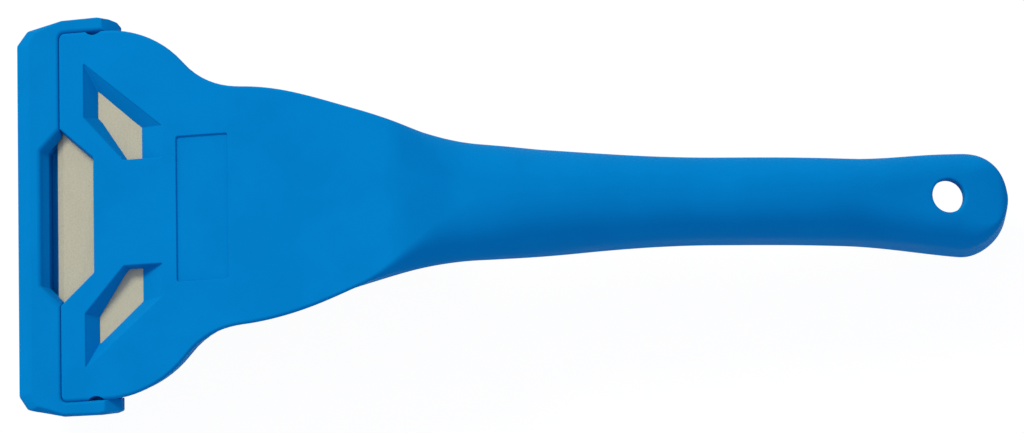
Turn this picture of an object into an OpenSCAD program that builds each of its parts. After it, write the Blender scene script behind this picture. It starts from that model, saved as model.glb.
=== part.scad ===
// Razor blade scraper: one moulded body, a plain blade in its slot and a push-on blade guard.
// It lies on a table as it would be put down: the nose of the guard and the tail of the handle touch it.
// X runs from the blade to the tail, Y runs along the cutting edge, Z is up.

/* [Blade] */
// Length of the blade along its cutting edge
blade_length = 60; // [52:1:70]
// Depth of the blade from its cutting edge to its back
blade_depth = 16; // [15.5:0.1:17.5]
// Cut corner at each end of the blade's back
blade_corner = 2; // [1:0.1:3]
// Thickness of the blade
blade_thickness = 0.4; // [0.3:0.05:0.8]
// Width of the ground bevel along the cutting edge
blade_bevel = 1; // [0.8:0.1:2.4]
// How far the cutting edge stands in front of the head
blade_reach = 1; // [0.8:0.1:2]
// Clearance above and below the blade in its slot
slot_gap = 0.06; // [0.04:0.01:0.15]
// Clearance at the ends and the back of the blade
slot_end_gap = 0.3; // [0.2:0.05:0.5]

/* [Head] */
// Angle between the head and the table
head_rake = 14.8; // [10:0.1:18]
// Thickness of the plastic over the blade
head_roof = 2.4; // [2:0.1:3.4]
// Thickness of the plastic under the blade
head_floor = 1.9; // [1.5:0.1:3]
// Thickness of the plastic beyond each end of the blade
slot_end_wall = 2.1; // [1.7:0.1:3.5]
// Straight length of the head's sides
side_length = 8.1; // [7:0.1:9]
// Radius of the convex shoulders
shoulder_radius = 18.3; // [16:0.1:22]
// Radius of the hollow behind the shoulders
waist_radius = 13.5; // [10:0.1:18]
// Width of the plate behind the shoulders
waist_width = 41.8; // [38:0.2:44]
// Depth of the front notch
notch_depth = 6.1; // [4:0.1:7]
// Width of the front notch at the front of the head
notch_front_width = 31.4; // [28:0.2:34]
// Width of the front notch at its back
notch_back_width = 20.2; // [17:0.2:22]
// Distance of each window from the front of the head
window_front = 4.3; // [3.5:0.1:5]
// Length of the straight front edge of each window
window_front_edge = 9.9; // [7:0.1:11]
// Length of the straight back edge of each window
window_back_edge = 5.4; // [4.6:0.1:7]
// Distance between the two windows at their inner edges
window_spacing = 19; // [17:0.2:21]
// Distance from each end of the blade to the window's outer corner
window_end_margin = 2.9; // [2.5:0.1:5]
// Length of the window's inner edge
window_inner_edge = 7.2; // [5:0.1:8]
// Length of the blade that lies covered behind each window
window_back_lap = 1.3; // [0.6:0.1:2]
// Width of the window's front and slanted bevels
window_bevel = 2.3; // [1:0.1:2.6]
// Width of the window's back bevel
window_back_bevel = 4.9; // [2.5:0.1:5.4]
// Width of the bevel at the window's outer corner
window_outer_bevel = 5.4; // [3.5:0.1:5.8]
// Width of the window's steep bevels
window_side_bevel = 0.4; // [0.2:0.05:0.6]
// Distance of the label recess from the front of the head
label_start = 20.8; // [20.2:0.1:24]
// Length of the label recess along the head
label_length = 9.3; // [7:0.1:11]
// Width of the label recess
label_width = 25.6; // [20:0.2:28]
// Depth of the label recess
label_depth = 0.4; // [0.2:0.05:0.8]
// Distance between the ribs under the head
pocket_pitch = 9; // [8:0.1:10]

/* [Handle] */
// Length of the body from the front of the head to the tail, along the table
body_length = 163; // [155:0.2:175]
// Width of the neck
neck_width = 21; // [18:0.2:24]
// Width of the grip
grip_width = 14.2; // [13:0.2:18]
// Width of the tail
tail_width = 16.9; // [15:0.2:20]
// Depth of the handle from its back to its rim
handle_depth = 12.2; // [11:0.1:16]
// Slope of the neck behind the ridge
neck_slope = 0.4; // [-2:0.1:2]
// Slope of the grip
grip_slope = -2.6; // [-5:0.1:0]
// Slope of the tail
tail_slope = -13.5; // [-16:0.1:-10]
// Place of the ridge between head and neck, along the table
ridge_place = 57.1; // [54:0.1:61]
// Length of the ridge's bend
ridge_length = 10; // [6:0.2:14]
// Inset of the head's sides at the underside
plate_lean = 1.2; // [0.4:0.1:1.4]
// Edge radius of the head plate
plate_edge = 0.8; // [0.4:0.1:1.2]
// Edge radius of the tail
tail_edge = 4.5; // [3:0.1:5.5]
// Radius of the round over the tip of the tail
tip_round = 3.5; // [2:0.1:5]
// Rise of the rim at the tip of the tail
tip_lift = 2.4; // [0:0.1:4]
// Thickness of the moulded walls
wall = 2.2; // [1.6:0.1:2.6]
// Thickness of the ribs under the head and in the handle
rib = 1.6; // [1:0.1:2.2]
// Distance between the cross ribs in the handle
rib_pitch = 14; // [11:0.5:16]
// Diameter of the hanging hole
hole_diameter = 5.8; // [4:0.1:6.4]
// Distance of the hanging hole from the tip of the tail
hole_inset = 10.4; // [9:0.1:13]

/* [Guard] */
// Depth of the guard from its nose to the front of the head
guard_depth = 7.7; // [7:0.1:9]
// Gap between the guard and the front of the head
guard_gap = 0.3; // [0.2:0.05:0.5]
// Thickness of the guard's arms
arm_thickness = 2.3; // [1.8:0.1:3.2]
// Length of the guard's arms past the front of the head
arm_length = 10.1; // [9.5:0.1:12]
// Gap between an arm and the side of the head
arm_gap = 0.35; // [0.25:0.05:0.6]
// Clearance of the snap bumps when the guard slides
bump_clearance = 0.06; // [0.04:0.01:0.12]
// Radius of the snap bumps
bump_radius = 1.5; // [1:0.1:2]
// Distance of the snap bumps from the front of the head
bump_place = 6.2; // [4.5:0.1:7]
// Clearance above and below the blade inside the guard
guard_blade_gap = 0.35; // [0.2:0.05:0.5]
// Clearance in front of the cutting edge
guard_tip_gap = 1.2; // [0.8:0.1:1.6]
// Width of the guard's cut-out at its back edge
cutout_width = 31.6; // [28:0.2:34]
// Width of the guard's cut-out at its front edge
cutout_front_width = 23.6; // [20:0.2:26]
// Depth of the guard's cut-out at the top
cutout_depth = 3.9; // [3:0.1:4.5]
// Depth of the guard's cut-out at its floor
cutout_low_depth = 2.8; // [2.2:0.1:3.4]
// Inset of the cut-out's ends at its floor
cutout_end_inset = 0.9; // [0.3:0.1:1.5]
// Thickness of the guard's floor under the cut-out
guard_floor = 0.8; // [0.6:0.1:1.6]
// Width of the bevel along the guard's nose
nose_bevel = 2.3; // [1.4:0.1:2.8]
// Drop of the bevel along the guard's nose
nose_drop = 0.9; // [0.4:0.1:1.4]
// Length of the taper on the outside of each arm
arm_taper_length = 3.2; // [1:0.1:3.6]
// Inset of the taper on the outside of each arm
arm_taper = 0.9; // [0.4:0.1:1.2]
// Length of the slope at the tip of each arm
arm_slope_length = 2.4; // [1.6:0.1:3]
// Drop of the slope at the tip of each arm
arm_slope_drop = 2.4; // [1.6:0.1:3.2]

/* [Hidden] */
plastic_blue = [0.004, 0.502, 0.78];
guard_blue = [0, 0.49, 0.765];
blade_grey = [0.74, 0.72, 0.65];
$fn = 48;
// Cuts reach past the faces they open by one of these
over = 1;
deep_over = 4;
reach = 200;

// Head frame sizes: the head's top face is level zero and its front edge is place zero
slot_height = blade_thickness + 2 * slot_gap;
head_height = head_roof + slot_height + head_floor;
blade_level = -head_roof - slot_height / 2;
blade_back = blade_depth - blade_reach;
slot_back = blade_back + slot_end_gap;
head_half = blade_length / 2 + slot_end_gap + slot_end_wall;
guard_side = head_half + arm_gap + arm_thickness;

// Spans along the table over which the form changes, told from the ridge or from the tip of the tail
function span(place, from, to) = [place + from, place + to];
neck_narrows = span(ridge_place, -28, 15.2);
grip_narrows = span(ridge_place, 0.3, 55.6);
tail_widens = span(body_length, -28.4, -3.8);
sides_straighten = span(ridge_place, -27, -9);
back_rounds = span(ridge_place, -7, 14);
handle_deepens = span(ridge_place, -6, 32);
ridge_bends = span(ridge_place, -ridge_length / 2, ridge_length / 2);
grip_falls = span(ridge_place, 16.6, 42);
tail_falls = span(body_length, -46.8, -22);
tail_flattens = span(body_length, -30, -12);
rim_lifts = span(body_length, -9, -1);

function ease(t) = t <= 0 ? 0 : t >= 1 ? 1 : 0.5 - 0.5 * cos(180 * t);
function step(x, span) = ease((x - span[0]) / (span[1] - span[0]));
function arc_fall(r, d) = r - sqrt(max(r * r - d * d, 0));

// Half width of the shoulders: a convex arc and a hollow arc that meet in one tangent
shoulder_fall = head_half - waist_width / 2;
arc_sum = shoulder_radius + waist_radius;
arc_run = sqrt(arc_sum * arc_sum - (arc_sum - shoulder_fall) * (arc_sum - shoulder_fall));
arc_meet = arc_run * shoulder_radius / arc_sum;
function shoulder(s) =
    s < side_length ? head_half
    : s < side_length + arc_meet ? head_half - arc_fall(shoulder_radius, s - side_length)
    : s < side_length + arc_run ? waist_width / 2 + arc_fall(waist_radius, side_length + arc_run - s)
    : waist_width / 2;

function full_half(x) =
    shoulder(x / cos(head_rake))
    - (waist_width - neck_width) / 2 * step(x, neck_narrows)
    - (neck_width - grip_width) / 2 * step(x, grip_narrows)
    + (tail_width - grip_width) / 2 * step(x, tail_widens);

// The tail ends in a half circle
tail_half = tail_width / 2;
function tip_share(x) = max(0, (x - body_length + tail_half) / tail_half);
function half_width(x) = full_half(x) * sqrt(max(0, 1 - tip_share(x) * tip_share(x)));

// The top line follows the slope of the head, the neck, the grip and the tail in turn
function slope(x) =
    head_rake
    + (neck_slope - head_rake) * step(x, ridge_bends)
    + (grip_slope - neck_slope) * step(x, grip_falls)
    + (tail_slope - grip_slope) * step(x, tail_falls);

// Stations of the rings: close where the form turns, and in even angles round the tail
shoulder_pitch = 1.6;
plate_pitch = 2.4;
ridge_pitch = 1.53;
grip_pitch = 4;
tip_turn = 10;
tip_angle = 80;
ring_offset = 0.7;
shoulder_end = side_length + arc_run;
ridge_near = ridge_place - ridge_length;
ridge_far = ridge_place + 1.6 * ridge_length;
function places(from, to, pitch) = [for (x = [from : pitch : to]) x];
stations = concat(
    [-2 * over, 0],
    places(side_length * cos(head_rake), shoulder_end, shoulder_pitch),
    places(shoulder_end + over, ridge_near, plate_pitch),
    places(ridge_near + ring_offset, ridge_far, ridge_pitch),
    places(ridge_far + ring_offset, body_length - tail_half - grip_pitch / 2, grip_pitch),
    [for (a = [0 : tip_turn : tip_angle]) body_length - tail_half + tail_half * sin(a)]);

front_height = guard_depth * sin(head_rake) + head_height * cos(head_rake);
slope_step = 0.5;
line_count = ceil((body_length + 2 * over) / slope_step);
top_line = [for (i = 0, z = front_height; i <= line_count;
    z = z + slope_step * tan(slope((i + 0.5) * slope_step)), i = i + 1) z];
function line_height(x) =
    x <= 0 ? front_height + x * tan(head_rake)
    : let (i = floor(x / slope_step), t = x / slope_step - i)
        top_line[i] * (1 - t) + top_line[i + 1] * t;
function top_height(x) = line_height(x) - arc_fall(tip_round, max(0, x - body_length + tip_round));
plate_drop = head_height / cos(head_rake);
function depth(x) = plate_drop + (handle_depth - plate_drop) * step(x, handle_deepens);
function rim_height(x) = line_height(x) - depth(x) + tip_lift * step(x, rim_lifts);

least_flat = 0.6;
function edge_radius(x) =
    let (round = step(x, back_rounds),
         bare = plate_edge + (half_width(x) - plate_edge) * round,
         flat = bare + (tail_edge - bare) * step(x, tail_flattens))
    min(flat, half_width(x) - least_flat);

// One ring of the outer form or of a cavity inside it
arch_steps = 6;
bay_arch_steps = 2;
rise_share = 0.75;
function ring(x, half, lean, top, low, radius, rise, steps) =
    let (side = concat([[half - lean, low]], [for (i = [0 : steps])
        let (a = 90 * i / steps) [half - radius + radius * cos(a), top - rise + rise * sin(a)]]),
        n = len(side))
    concat([for (p = side) [x, p[0], p[1]]], [for (i = [n - 1 : -1 : 0]) [x, -side[i][0], side[i][1]]]);
function edge_rise(x) = min(edge_radius(x), rise_share * depth(x));
function side_lean(x) = plate_lean * (1 - step(x, sides_straighten));
function outer_ring(x) =
    ring(x, half_width(x), side_lean(x), top_height(x), rim_height(x), edge_radius(x), edge_rise(x), arch_steps);
function bay_ring(x) =
    let (skin = wall / cos(slope(x)))
    ring(x, half_width(x) - wall, 0, top_height(x) - skin, rim_height(x) - deep_over,
        max(edge_radius(x) - wall, least_flat), max(edge_rise(x) - wall, least_flat), bay_arch_steps);

// A closed solid through a list of rings with the same number of points
module loft(rings) {
    n = len(rings[0]);
    last = len(rings) - 1;
    walls = [for (k = [0 : last - 1], i = [0 : n - 1]) let (j = (i + 1) % n)
        each [[k * n + i, (k + 1) * n + i, (k + 1) * n + j], [k * n + i, (k + 1) * n + j, k * n + j]]];
    near = [[for (i = [0 : n - 1]) i]];
    far = [[for (i = [n - 1 : -1 : 0]) last * n + i]];
    polyhedron([for (r = rings) each r], concat(near, far, walls), convexity = 8);
}

// A cut with one outline above and another outline below
module bevelled_cut(low, low_level, high, high_level) {
    loft([[for (p = low) [p[0], p[1], low_level]], [for (p = high) [p[0], p[1], high_level]]]);
}

// The rest position: nose and tail rims on the table, the middle of the length at the origin
nose_low = -guard_depth * cos(head_rake) + head_height * sin(head_rake);
nose_tip = -guard_depth * cos(head_rake) + nose_drop * sin(head_rake);
rest_pitch = max([for (x = stations) if (x > ridge_place) atan(-rim_height(x) / (x - nose_low))]);
function turned_x(x, z) = nose_low + (x - nose_low) * cos(rest_pitch) - z * sin(rest_pitch);
nose_height = front_height - guard_depth * sin(head_rake) - nose_drop * cos(head_rake);
low_x = turned_x(nose_tip, nose_height);
high_x = max([for (x = stations) max(turned_x(x, top_height(x)), turned_x(x, rim_height(x)))]);
middle_x = (low_x + high_x) / 2;
module at_rest() {
    translate([nose_low - middle_x, 0, 0])
        rotate([0, -rest_pitch, 0])
            translate([-nose_low, 0, 0])
                children();
}
module in_head() {
    translate([0, 0, front_height])
        rotate([0, -head_rake, 0])
            children();
}

// Body
module front_cut() {
    translate([-reach, -reach / 2, -reach / 2])
        cube([reach, reach, reach]);
}
// Outline of the blade or of its slot, with the back corners cut
function blade_outline(front, back, half) = [
    [front, -half], [back - blade_corner, -half], [back, blade_corner - half],
    [back, half - blade_corner], [back - blade_corner, half], [front, half]];
module blade_slot() {
    translate([0, 0, blade_level - slot_height / 2])
        linear_extrude(height = slot_height)
            polygon(blade_outline(-over, slot_back, blade_length / 2 + slot_end_gap));
}
module front_notch() {
    front = notch_front_width / 2;
    back = notch_back_width / 2;
    lead = (front - back) / notch_depth * over;
    translate([0, 0, blade_level])
        linear_extrude(height = head_roof + over + slot_height)
            polygon([[-over, front + lead], [notch_depth, back],
                [notch_depth, -back], [-over, -front - lead]]);
}

// Window outlines, for the mouth in the top face and for the opening over the blade
mouth_back = blade_back - window_back_lap + window_back_bevel;
mouth_outer = blade_length / 2 - window_end_margin;
mouth_inner = window_spacing / 2;
mouth = [
    [window_front, mouth_outer],
    [window_front, mouth_outer - window_front_edge],
    [mouth_back - window_inner_edge, mouth_inner],
    [mouth_back, mouth_inner],
    [mouth_back, mouth_inner + window_back_edge]];
opening_back = blade_back - window_back_lap;
opening_front = window_front + window_bevel;
opening_inner = mouth_inner + window_side_bevel;
opening = [
    [opening_front, mouth_outer - window_outer_bevel],
    [opening_front, mouth_outer - window_front_edge + window_side_bevel],
    [mouth_back - window_inner_edge + window_side_bevel, opening_inner],
    [opening_back, opening_inner],
    [opening_back, mouth_inner + window_back_edge]];
function grown(low, high, share) = [for (i = [0 : len(low) - 1]) high[i] + (high[i] - low[i]) * share];
module window() {
    bevelled_cut(opening, blade_level, grown(opening, mouth, over / head_roof), over);
}
module label_recess() {
    translate([label_start, -label_width / 2, -label_depth])
        cube([label_length, label_width, label_depth + over]);
}
module snap_notch() {
    translate([bump_place, head_half + bump_radius - arm_gap, -head_height - over])
        cylinder(r = bump_radius + arm_gap, h = head_height + 2 * over);
}
hole_place = body_length - hole_inset;
module hanging_hole() {
    translate([hole_place, 0, top_height(hole_place)])
        rotate([0, -slope(hole_place), 0])
            translate([0, 0, -wall - over])
                cylinder(d = hole_diameter, h = wall + 2 * over);
}

// Pockets under the head plate, between ribs that run to the neck
pocket_start = slot_back + wall;
pocket_end = (ridge_place - ridge_length / 2 - rib) / cos(head_rake);
pocket_step = 1.5;
module head_pocket(inner) {
    outer = inner + pocket_pitch - rib;
    places = [for (s = [pocket_start : pocket_step : pocket_end])
        if (half_width(s * cos(head_rake)) - wall > inner + rib) s];
    edge = [for (s = places) [s, min(outer, half_width(s * cos(head_rake)) - wall)]];
    translate([0, 0, -head_height - over])
        linear_extrude(height = head_height - head_roof + over)
            polygon(concat([[places[0], inner]], edge, [[places[len(places) - 1], inner]]));
}

// Bays inside the handle, between cross ribs
bay_first = ridge_place - ridge_length / 2;
bay_last = body_length - 2 * wall;
bay_count = round((bay_last - bay_first) / rib_pitch);
bay_pitch = (bay_last - bay_first) / bay_count;
bay_cuts = 2;
module handle_bay(i) {
    from = bay_first + i * bay_pitch + rib / 2;
    to = bay_first + (i + 1) * bay_pitch - rib / 2;
    loft([for (k = [0 : bay_cuts]) bay_ring(from + (to - from) * k / bay_cuts)]);
}

module body() {
    color(plastic_blue)
        at_rest()
            difference() {
                loft([for (x = stations) outer_ring(x)]);
                in_head() {
                    front_cut();
                    blade_slot();
                    front_notch();
                    label_recess();
                    for (side = [0, 1])
                        mirror([0, side, 0]) {
                            window();
                            snap_notch();
                            head_pocket(rib / 2);
                            head_pocket(rib / 2 + pocket_pitch);
                        }
                }
                for (i = [0 : bay_count - 1])
                    handle_bay(i);
                hanging_hole();
            }
}

// Blade
module blade() {
    half = blade_thickness / 2;
    color(blade_grey)
        at_rest()
            in_head()
                translate([0, 0, blade_level])
                    intersection() {
                        translate([-blade_reach, blade_length / 2, 0])
                            rotate([90, 0, 0])
                                linear_extrude(height = blade_length)
                                    polygon([[0, 0], [blade_bevel, -half], [blade_depth, -half],
                                        [blade_depth, half], [blade_bevel, half]]);
                        linear_extrude(height = 2 * blade_thickness, center = true)
                            polygon(blade_outline(-deep_over, blade_back, blade_length / 2));
                    }
}

// Guard
function both_sides(half) =
    concat([for (p = half) [p[0], -p[1]]], [for (i = [len(half) - 1 : -1 : 0]) half[i]]);
nose = -guard_depth;
arm_start = 0.4;
// Points round a corner of the guard: how far behind the nose and how far inside the arm's outer face
low_corner = [[0, 3.4], [0.4, 2.5], [2.3, 2.1]];
middle_corner = [[0, 4.2], [1, 2.9], [1.9, 1.7]];
top_corner = [[0, 4.6], [0.5, 3.2], [1.2, 2.2]];
function guard_outline(front, corner, arm_inset, tip_inset) = both_sides(concat(
    [for (p = corner) [front + p[0], guard_side - p[1]]],
    [[arm_start, guard_side - arm_inset],
     [arm_length - arm_taper_length, guard_side - tip_inset],
     [arm_length, guard_side - tip_inset - arm_taper]]));
low_outline = guard_outline(nose, low_corner, 1.3, 1.1);
middle_outline = guard_outline(nose, middle_corner, 0.2, 0);
top_outline = guard_outline(nose + nose_bevel, top_corner, 0.5, 0.3);
function at_level(outline, z) = [for (p = outline) [p[0], p[1], z]];
module guard_blank() {
    loft([at_level(low_outline, -head_height),
        at_level(middle_outline, -nose_drop), at_level(top_outline, 0)]);
}
arm_inside = head_half + arm_gap;
module head_room() {
    translate([-guard_gap, -arm_inside, -reach / 2])
        cube([reach, 2 * arm_inside, reach]);
}
module blade_room() {
    room = blade_thickness + 2 * guard_blade_gap;
    length = blade_length + 2 * slot_end_gap + 2 * guard_blade_gap;
    translate([-blade_reach - guard_tip_gap, -length / 2, blade_level - room / 2])
        cube([blade_reach + guard_tip_gap + over, length, room]);
}
module cutout() {
    front = cutout_front_width / 2;
    back = cutout_width / 2;
    turn = (back - front) / cutout_depth;
    low_back = back - cutout_end_inset;
    low_level = guard_floor - head_height;
    low = [[over, low_back + turn * over], [-cutout_low_depth, low_back - turn * cutout_low_depth],
        [-cutout_low_depth, -low_back + turn * cutout_low_depth], [over, -low_back - turn * over]];
    high = [[over, back + turn * over], [-cutout_depth, front],
        [-cutout_depth, -front], [over, -back - turn * over]];
    bevelled_cut(low, low_level, grown(low, high, -over / low_level), over);
}
module arm_slope() {
    fall = atan(arm_slope_drop / arm_slope_length);
    translate([arm_length - arm_slope_length, -reach / 2, 0])
        rotate([0, fall, 0])
            cube([reach, reach, reach]);
}
module snap_bump() {
    translate([bump_place, arm_inside + bump_radius - arm_gap + bump_clearance, -head_height])
        cylinder(r = bump_radius, h = head_height - nose_drop);
}
module bump_trim() {
    translate([-reach / 2, arm_inside + arm_thickness / 2, -reach / 2])
        cube([reach, reach, reach]);
}
module guard() {
    color(guard_blue)
        at_rest()
            in_head() {
                difference() {
                    guard_blank();
                    head_room();
                    blade_room();
                    cutout();
                    arm_slope();
                }
                for (side = [0, 1])
                    mirror([0, side, 0])
                        difference() {
                            snap_bump();
                            bump_trim();
                        }
            }
}

body();
blade();
guard();
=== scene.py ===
"""Razor blade scraper: a moulded body with a handle, a flat steel blade and a snap-on guard.

The sizes of the pieces are in millimetres and are turned into metres when a piece is finished.
"""

from collections import namedtuple
from math import cos, pi, radians, sin, sqrt, tan

import bmesh
import bpy
from mathutils import Matrix, Vector


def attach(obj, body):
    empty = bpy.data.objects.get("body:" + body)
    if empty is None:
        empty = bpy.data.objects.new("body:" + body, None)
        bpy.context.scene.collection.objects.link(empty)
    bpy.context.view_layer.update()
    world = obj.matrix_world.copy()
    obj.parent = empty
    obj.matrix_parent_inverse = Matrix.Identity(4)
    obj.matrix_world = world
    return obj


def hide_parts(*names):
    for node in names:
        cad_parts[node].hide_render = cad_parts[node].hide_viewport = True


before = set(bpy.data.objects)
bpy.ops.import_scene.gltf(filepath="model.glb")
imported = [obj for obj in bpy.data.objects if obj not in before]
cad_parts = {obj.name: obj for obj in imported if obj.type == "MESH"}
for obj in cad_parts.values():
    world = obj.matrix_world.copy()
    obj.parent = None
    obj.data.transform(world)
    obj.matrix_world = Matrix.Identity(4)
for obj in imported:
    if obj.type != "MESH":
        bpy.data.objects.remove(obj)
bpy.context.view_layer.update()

MM = 0.001

# Rest position: the head's front top edge, and how far the handle's own line is pitched
FRONT_X = -77.8236
FRONT_Z = 6.5661
PITCH = radians(-0.5588)
RAKE = radians(14.8)
HEAD_LEAN = RAKE + PITCH

# Blade
BLADE_HALF = 30
BLADE_DEPTH = 16
BLADE_THICK = 0.4
BLADE_BEVEL = 1.0
BLADE_REACH = 1.0
BLADE_CORNER = 2
BLADE_EASE = 0.03

# Blade slot, and the level of the blade below the head's top face
SLOT_HALF = 30.3
SLOT_HEIGHT = 0.52
SLOT_BACK = 15.3
HEAD_ROOF = 2.4
BLADE_LEVEL = -HEAD_ROOF - SLOT_HEIGHT / 2

# Head plate
HEAD_HEIGHT = 4.82
HEAD_HALF = 32.4
SIDE_LENGTH = 8.1
SHOULDER_RADIUS = 18.3
WAIST_RADIUS = 13.5
WAIST_WIDTH = 41.8
PLATE_LEAN = 1.2
FRONT_EDGE = 0.5
FRONT_CORNER = 1.1
PLATE_EDGE = 0.6
RIM_EDGE = 0.5

# Front notch, with its half widths at the front edge and at its back
NOTCH_DEPTH = 6.1
NOTCH_FRONT = 15.7
NOTCH_BACK = 10.1
NOTCH_AHEAD = 2
NOTCH_LIP = 0.3
NOTCH_CORNER = 0.5

# Label recess
LABEL_START = 20.8
LABEL_LENGTH = 9.3
LABEL_HALF = 12.8
LABEL_DEPTH = 0.4
LABEL_DRAFT = 0.15
LABEL_LIP = 0.12
LABEL_CORNER = 0.5

# One of the two windows, at the top face and down at the blade
WINDOW_MOUTH = [(4.3, 27.1), (4.3, 17.2), (11.4, 9.3), (18.6, 9.3), (18.6, 14.9)]
WINDOW_FLOOR = [(6.6, 21.7), (6.6, 17.5), (11.8, 9.5), (13.7, 9.5), (13.7, 15.3)]
WINDOW_LIP = 0.22
WINDOW_CORNER = 0.15

# Snap bumps on the guard's arms, and the notches for them in the head's sides
BUMP_PLACE = 6.2
BUMP_RADIUS = 1.5
BUMP_CLEAR = 0.06
BUMP_STEPS = 24
SNAP_OFFSET = 1.15
SNAP_RADIUS = 1.85
SNAP_FLOOR = -2

# Levels of a bump, each with what its radius has lost there
BUMP_LEVELS = [(-HEAD_HEIGHT + 0.3, 0), (-1.5, 0), (-1.1, 0.12), (-0.9, 0.35)]

# Handle
BODY_LENGTH = 163
TIP_END = 162.84
RIDGE = 57.1
RIDGE_LENGTH = 10
NECK_WIDTH = 21
GRIP_WIDTH = 14.2
TAIL_WIDTH = 16.9
TAIL_START = BODY_LENGTH - TAIL_WIDTH / 2
HANDLE_DEPTH = 12.2
NECK_SLOPE = radians(0.4)
GRIP_SLOPE = radians(-2.6)
TAIL_SLOPE = radians(-13.5)
RIM_RAISE = 0.12

# Rounds of the handle's back: how much they lose at the tip, and the limits of their reach and rise
TAIL_EDGE = 5.2
TIP_ROUND = 1.8
TIP_LIFT = 2.4
TIP_LOSS = 0.75
LEAST_FLAT = 0.3
LEAST_ROUND_SHARE = 0.1
MOST_RISE_SHARE = 0.75

# Hanging hole
HOLE_RADIUS = 2.9
HOLE_PLACE = BODY_LENGTH - 10.4
HOLE_LIP = 0.35
HOLE_CHAMFER = 0.3
HOLE_BELOW = 3.6
HOLE_ABOVE = 0.03
HOLE_STEPS = 64

# Hollows of the underside
WALL = 2.2
RIB = 1.6
RIB_SLAB = Vector((RIB, 40, 60))
POCKET_PITCH = 9
BAY_COUNT = 8
BAY_FIRST = RIDGE - RIDGE_LENGTH / 2
BAY_LAST = BODY_LENGTH - 2 * WALL
BAY_LEAST_ROUND = 0.6
BAY_LEAST_HALF = 0.8
BAY_BELOW = 4

# Where each change along the body starts and ends
WAIST_TO_NECK = (RIDGE - 28, RIDGE + 15.2)
NECK_TO_GRIP = (RIDGE + 0.3, RIDGE + 55.6)
GRIP_TO_TAIL = (BODY_LENGTH - 28.4, BODY_LENGTH - 3.8)
RIDGE_BEND = (RIDGE - 1.6, RIDGE + 2.4)
GRIP_BEND = (RIDGE + 16.6, RIDGE + 42)
TAIL_BEND = (BODY_LENGTH - 46.8, BODY_LENGTH - 22)
DEPTH_GAIN = (RIDGE - 6, RIDGE + 32)
TIP_RUN = (BODY_LENGTH - 9, BODY_LENGTH - 1)
ROUND_GAIN = (RIDGE - 5.5, RIDGE + 20)
TAIL_ROUND = (BODY_LENGTH - 30, BODY_LENGTH - 12)
RING_UPRIGHT = (RIDGE - 18, RIDGE - 7)
SIDES_STRAIGHTEN = (RIDGE - 12, RIDGE + 2)

# Hollows on the two sides of the ridge: start, length, angle of the fall and of the rise
HEAD_HOLLOW = (RIDGE - 23, 24, 4.6, 3.6)
NECK_HOLLOW = (RIDGE + 1, 20, 5, 5)

# Stations of the body: those in the front edge, then runs by start, end and pitch, then turns round the tip
FRONT_STATIONS = (0, 0.02, 0.08, 0.18, 0.32, 0.45, 0.6, 0.8, 1.1)
STATION_RUNS = [(1.4, 38, 1.1), (38, RIDGE - 10, 1.2), (RIDGE - 10, RIDGE + 18, 0.6),
                (RIDGE + 18, 128, 1.8), (128, TAIL_START, 1.2)]
TIP_DEGREES = range(0, 91, 5)
BAY_STEP = 1.5
POCKET_STEP = 0.8

# Guard, with its front corners at three heights told from the nose and from the side
GUARD_DEPTH = 7.7
GUARD_GAP = 0.04
GUARD_SIDE = 35.05
GUARD_FLOOR = 0.45
GUARD_ROUND = 1.0
NOSE_BEVEL = 2.3
LOW_CORNER = [(0, 3.4), (0.4, 2.5), (2.3, 2.1)]
MIDDLE_CORNER = [(0, 4.2), (1, 2.9), (1.9, 1.7)]
TOP_CORNER = [(0, 4.6), (0.5, 3.2), (1.2, 2.2)]

# Arms of the guard, which close in on the head towards the underside
ARM_INSIDE = 32.55
ARM_LENGTH = 10.1
ARM_ROOT = 0.4
ARM_LEAN = PLATE_LEAN + 0.12
ARM_END_ROUND = 0.4
ARM_FALL = [(6.9, 0.2), (7.7, -0.03), (8.0, -0.26), (13, -5.26), (15, 3), (6.9, 3)]
ARM_FALL_HALF = 45

# Room for the head between the arms: levels of its foot with their outsets, and how the arms open
HEAD_ROOM_FOOT = [(-9, 0.3), (-HEAD_HEIGHT, 0.3), (-HEAD_HEIGHT + 0.1, 0.1), (-HEAD_HEIGHT + 0.3, 0)]
HEAD_ROOM_FLARE = [(9.2, 0), (ARM_LENGTH, 0.15), (16, 1.2)]
HEAD_ROOM_LIP = 0.5
HEAD_ROOM_ABOVE = 0.02
HEAD_ROOM_CORNER = 1.2

# Room for the blade in the guard
BLADE_ROOM_HALF = 30.65
BLADE_ROOM_HEIGHT = 0.55
BLADE_ROOM_REACH = BLADE_REACH + 0.9

# Cut-out in the guard's back edge, with its half widths and the level and depth of its step
CUTOUT_BACK = 15.8
CUTOUT_FRONT = 11.8
CUTOUT_DEPTH = 3.9
CUTOUT_STEP = -2.05
CUTOUT_STEP_DEPTH = 2.45
CUTOUT_END_INSET = 1.4
CUTOUT_BEHIND = 6
CUTOUT_LIP = 0.8
CUTOUT_CORNER = 0.5
CUTOUT_DRAFT = 0.02

# Cutters: the turns of a round lip, how it runs out above the face, and how far a cutter goes past a face
LIP_TURNS = [radians(degrees) for degrees in (22, 45, 66, 84)]
LIP_SPREAD = 1.1
LIP_ABOVE = 0.06
CUT_PAST = 1

# Meshes: weld distances, and the angles in degrees at which shading turns sharp
PIECE_WELD = 0.0005
LOFT_WELD = 0.0004
PLASTIC_SHARP = 32
BLADE_SHARP = 3


# Rules of the form
def ease(t):
    """Runs smoothly from 0 to 1."""
    t = min(max(t, 0), 1)
    return 0.5 - 0.5 * cos(pi * t)


def over(x, start, end):
    """How far a change that runs from start to end has come at x."""
    return ease((x - start) / (end - start))


def arc_fall(radius, run):
    """How far a circle has fallen away from its tangent."""
    return radius - sqrt(max(radius * radius - run * run, 0))


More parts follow.
